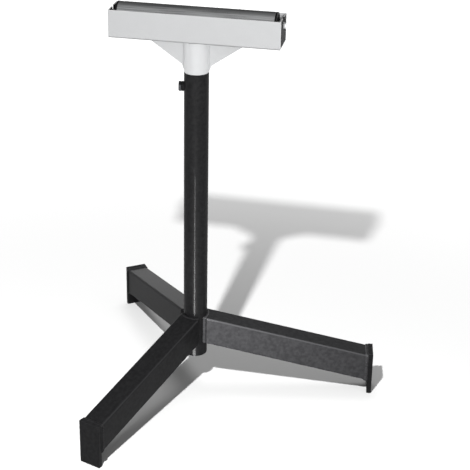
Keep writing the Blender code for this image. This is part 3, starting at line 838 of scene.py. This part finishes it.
def seen_or_mirrored(owner, mirrored_where=None):
    """1 for what the camera sees, straight, through glass or in bright metal, and 0 for light on things."""
    path = add(owner, "ShaderNodeLightPath").outputs
    mirrored = path["Is Glossy Ray"]
    if mirrored_where:
        mirrored = add(owner, "ShaderNodeMath", {"operation": "MULTIPLY"},
                       {0: mirrored, 1: mirrored_where}).outputs[0]
    direct = add(owner, "ShaderNodeMath", {"operation": "MAXIMUM"},
                 {0: path["Is Camera Ray"], 1: path["Is Transmission Ray"]}).outputs[0]
    return add(owner, "ShaderNodeMath", {"operation": "MAXIMUM"}, {0: direct, 1: mirrored}).outputs[0]


def studio_paper():
    """White paper. The camera and bright metal see it white, and it glows where the shadow lamp falls off,
    so that it stays white to the picture's edge and still shows the shadow."""
    material = new_material("white_studio_paper")
    seen = seen_or_mirrored(material)
    tint = add(material, "ShaderNodeMix", {"data_type": "RGBA", 6: linear("#585858"), 7: linear("#979797")},
               {"Factor": seen})
    place = add(material, "ShaderNodeTexCoord").outputs["Object"]
    glow_centre = (POST_PLACE.x, POST_PLACE.y + PAPER_GLOW_CENTRE, 0.0)
    apart = add(material, "ShaderNodeVectorMath", {"operation": "DISTANCE", 1: glow_centre}, {0: place})
    glow = add(material, "ShaderNodeMapRange", {"interpolation_type": "SMOOTHSTEP",
               "From Min": PAPER_GLOW_FROM, "From Max": PAPER_GLOW_TO, "To Min": PAPER_GLOW_LEAST},
               {"Value": apart.outputs["Value"]})
    strength = add(material, "ShaderNodeMath", {"operation": "MULTIPLY"},
                   {0: glow.outputs["Result"], 1: seen})
    set_shader(material, {"Emission Color": WHITE, "Roughness": 1.0, "Specular IOR Level": 0.0},
               {"Base Color": tint.outputs[2], "Emission Strength": strength.outputs[0]})
    return material


def studio_floor():
    form = bmesh.new()
    bmesh.ops.create_grid(form, x_segments=1, y_segments=1, size=PAPER_SIZE)
    floor = show("studio_floor", mesh_of(form, "studio_floor"))
    floor.data.materials.append(studio_paper())
    return floor


def studio_dome():
    """Soft light from the front and above, falling off towards the back. The camera sees it white, and
    bright metal mirrors that white as a low backdrop all round."""
    world = bpy.data.worlds.new("studio_dome")
    world.use_nodes = True
    bpy.context.scene.world = world
    direction = add(world, "ShaderNodeTexCoord").outputs["Generated"]
    facing = add(world, "ShaderNodeVectorMath",
                 {"operation": "DOT_PRODUCT", 1: Vector(DOME_BRIGHT_SIDE).normalized()}, {0: direction})
    place = add(world, "ShaderNodeMapRange", {"From Min": -1.0}, {"Value": facing.outputs["Value"]})
    ramp = add(world, "ShaderNodeValToRGB", {}, {"Fac": place.outputs["Result"]})
    ramp.color_ramp.interpolation = "EASE"
    levels = ramp.color_ramp.elements
    for _ in range(len(DOME_LEVELS) - len(levels)):
        levels.new(0.5)
    for level, (position, strength) in zip(levels, DOME_LEVELS):
        level.position = position
        level.color = (strength, strength, strength, 1.0)
    upward = add(world, "ShaderNodeSeparateXYZ", {}, {"Vector": direction}).outputs["Z"]
    backdrop = add(world, "ShaderNodeMapRange", {"interpolation_type": "SMOOTHSTEP",
                   "From Min": BACKDROP_TOP, "From Max": BACKDROP_TOP / 3}, {"Value": upward})
    seen = seen_or_mirrored(world, backdrop.outputs["Result"])
    tint = add(world, "ShaderNodeMix", {"data_type": "RGBA", 7: WHITE},
               {"Factor": seen, 6: ramp.outputs["Color"]})
    background = world.node_tree.nodes["Background"]
    world.node_tree.links.new(tint.outputs[2], background.inputs["Color"])


def hang_lamp(light, from_post, lit, state="INCLUDE"):
    """Hangs an unseen lamp that lights only the given pieces, or with EXCLUDE all but those."""
    holder = bpy.data.objects.new(light.name, light)
    holder.visible_camera = False
    bpy.context.scene.collection.objects.link(holder)
    holder.location = POST_PLACE + Vector(from_post)
    receivers = bpy.data.collections.new(light.name + "_receivers")
    for piece in lit:
        receivers.objects.link(piece)
    for entry in receivers.collection_objects:
        entry.light_linking.link_state = state
    holder.light_linking.receiver_collection = receivers
    return holder


def aim(holder, height):
    """Points a lamp at the post's axis, at this height above the floor."""
    towards = POST_PLACE + Vector((0.0, 0.0, height)) - holder.location
    holder.rotation_euler = towards.to_track_quat("-Z", "Y").to_euler()


def panel(name, width, height, power):
    light = bpy.data.lights.new(name, "AREA")
    light.shape = "RECTANGLE"
    light.size = width
    light.size_y = height
    light.energy = power
    return light


def paper_lamps(floor):
    """A small lamp in front throws the head's long shadow, and a broad one above the one under the legs."""
    light = bpy.data.lights.new("shadow_lamp", "POINT")
    light.energy = SHADOW_LAMP_POWER
    light.shadow_soft_size = SHADOW_LAMP_RADIUS
    hang_lamp(light, SHADOW_LAMP_FROM_POST, [floor])
    light = panel("top_lamp", TOP_LAMP_SIZE, TOP_LAMP_SIZE, TOP_LAMP_POWER)
    aim(hang_lamp(light, TOP_LAMP_FROM_POST, [floor]), 0.0)


def stand_lamps(floor, post_piece, mast_piece, right_leg, low_pieces, collar_piece, channel_piece):
    """The lamps that light the stand and leave the paper alone. The two broad ones also leave the mast,
    whose bare steel they would burn white."""
    light = panel("front_lamp", FRONT_LAMP_WIDTH, FRONT_LAMP_HEIGHT, FRONT_LAMP_POWER)
    aim(hang_lamp(light, FRONT_LAMP_FROM_POST, [floor, channel_piece, mast_piece], "EXCLUDE"), FRONT_LAMP_AIM)
    light = panel("channel_lamp", CHANNEL_LAMP_SIZE, CHANNEL_LAMP_SIZE, CHANNEL_LAMP_POWER)
    aim(hang_lamp(light, CHANNEL_LAMP_FROM_POST, [channel_piece]), CHANNEL_LAMP_AIM)
    for side, sign in (("left", -1), ("right", 1)):
        light = panel("collar_lamp_" + side, COLLAR_LAMP_SIZE, COLLAR_LAMP_SIZE, COLLAR_LAMP_POWER)
        beside = (sign * COLLAR_LAMP_OUT, COLLAR_LAMP_FORWARD, COLLAR_LAMP_HEIGHT)
        aim(hang_lamp(light, beside, [collar_piece]), COLLAR_LAMP_HEIGHT)
    light = panel("post_lamp", POST_LAMP_SIZE, POST_LAMP_SIZE, POST_LAMP_POWER)
    aim(hang_lamp(light, POST_LAMP_FROM_POST, [post_piece]), POST_LAMP_AIM)
    light = panel("back_lamp", FRONT_LAMP_WIDTH, FRONT_LAMP_HEIGHT, BACK_LAMP_POWER)
    aim(hang_lamp(light, BACK_LAMP_FROM_POST, [floor, mast_piece], "EXCLUDE"), BACK_LAMP_AIM)
    light = panel("leg_lamp", LEG_LAMP_SIZE, LEG_LAMP_SIZE / 2, LEG_LAMP_POWER)
    aim(hang_lamp(light, LEG_LAMP_FROM_POST, right_leg), LEG_LAMP_AIM)
    light = panel("leg_top_lamp", LEG_TOP_LAMP_SIZE, LEG_TOP_LAMP_SIZE, LEG_TOP_LAMP_POWER)
    hang_lamp(light, (0.0, 0.0, LEG_TOP_LAMP_HEIGHT), low_pieces)


def strip_lamp(post_piece):
    """A narrow strip lying on the paper and shining up: its reflection is the thin line down the post."""
    light = panel("strip_lamp", STRIP_LENGTH, STRIP_WIDTH, STRIP_POWER)
    out = STRIP_FROM + STRIP_LENGTH / 2
    place = (out * math.cos(STRIP_TURN), out * math.sin(STRIP_TURN), STRIP_ABOVE_PAPER)
    holder = hang_lamp(light, place, [post_piece])
    holder.rotation_euler = (math.pi, 0.0, STRIP_TURN)
    holder.visible_diffuse = False


def camera():
    data = bpy.data.cameras.new("photo_camera")
    data.sensor_width = SENSOR_WIDTH
    data.lens = FOCAL_LENGTH_IN_PIXELS / PHOTO_SIZE * data.sensor_width
    data.shift_x = (PHOTO_SIZE / 2 - PICTURE_CENTRE[0]) / PHOTO_SIZE
    data.shift_y = (PICTURE_CENTRE[1] - PHOTO_SIZE / 2) / PHOTO_SIZE
    data.clip_end = CAMERA_SEES_TO
    holder = bpy.data.objects.new("photo_camera", data)
    bpy.context.scene.collection.objects.link(holder)
    holder.location = POST_PLACE + Vector(CAMERA_FROM_POST)
    holder.rotation_euler = (math.pi / 2 - CAMERA_PITCH, 0.0, CAMERA_TURN)
    bpy.context.scene.camera = holder


bpy.context.scene.view_settings.view_transform = "Standard"
camera()
floor = studio_floor()
studio_dome()

# The base: post, legs with their welds, foot plates and clamp
post_piece = post()
legs = {}
feet = []
for side in ("right", "back", "front"):
    place, reach = leg_frame(side)
    legs[side] = [leg(side, place, reach)] + leg_welds(side, place, reach)
    feet.append(foot_plate(side, place, reach))
clamp()

# What moves: the mast, and on it the head with its roller
mast_piece = mast()
collar_piece = collar()
collar_weld()
channel_piece = channel()
axle()
roller()
for side, sign in (("left", -1), ("right", 1)):
    gusset(side, sign)
    gusset_welds(side, sign)
    end_plate(side)
    cap(side, sign)
bearings_and_rings()

paper_lamps(floor)
low_pieces = sum(legs.values(), feet)
stand_lamps(floor, post_piece, mast_piece, legs["right"], low_pieces, collar_piece, channel_piece)
strip_lamp(post_piece)
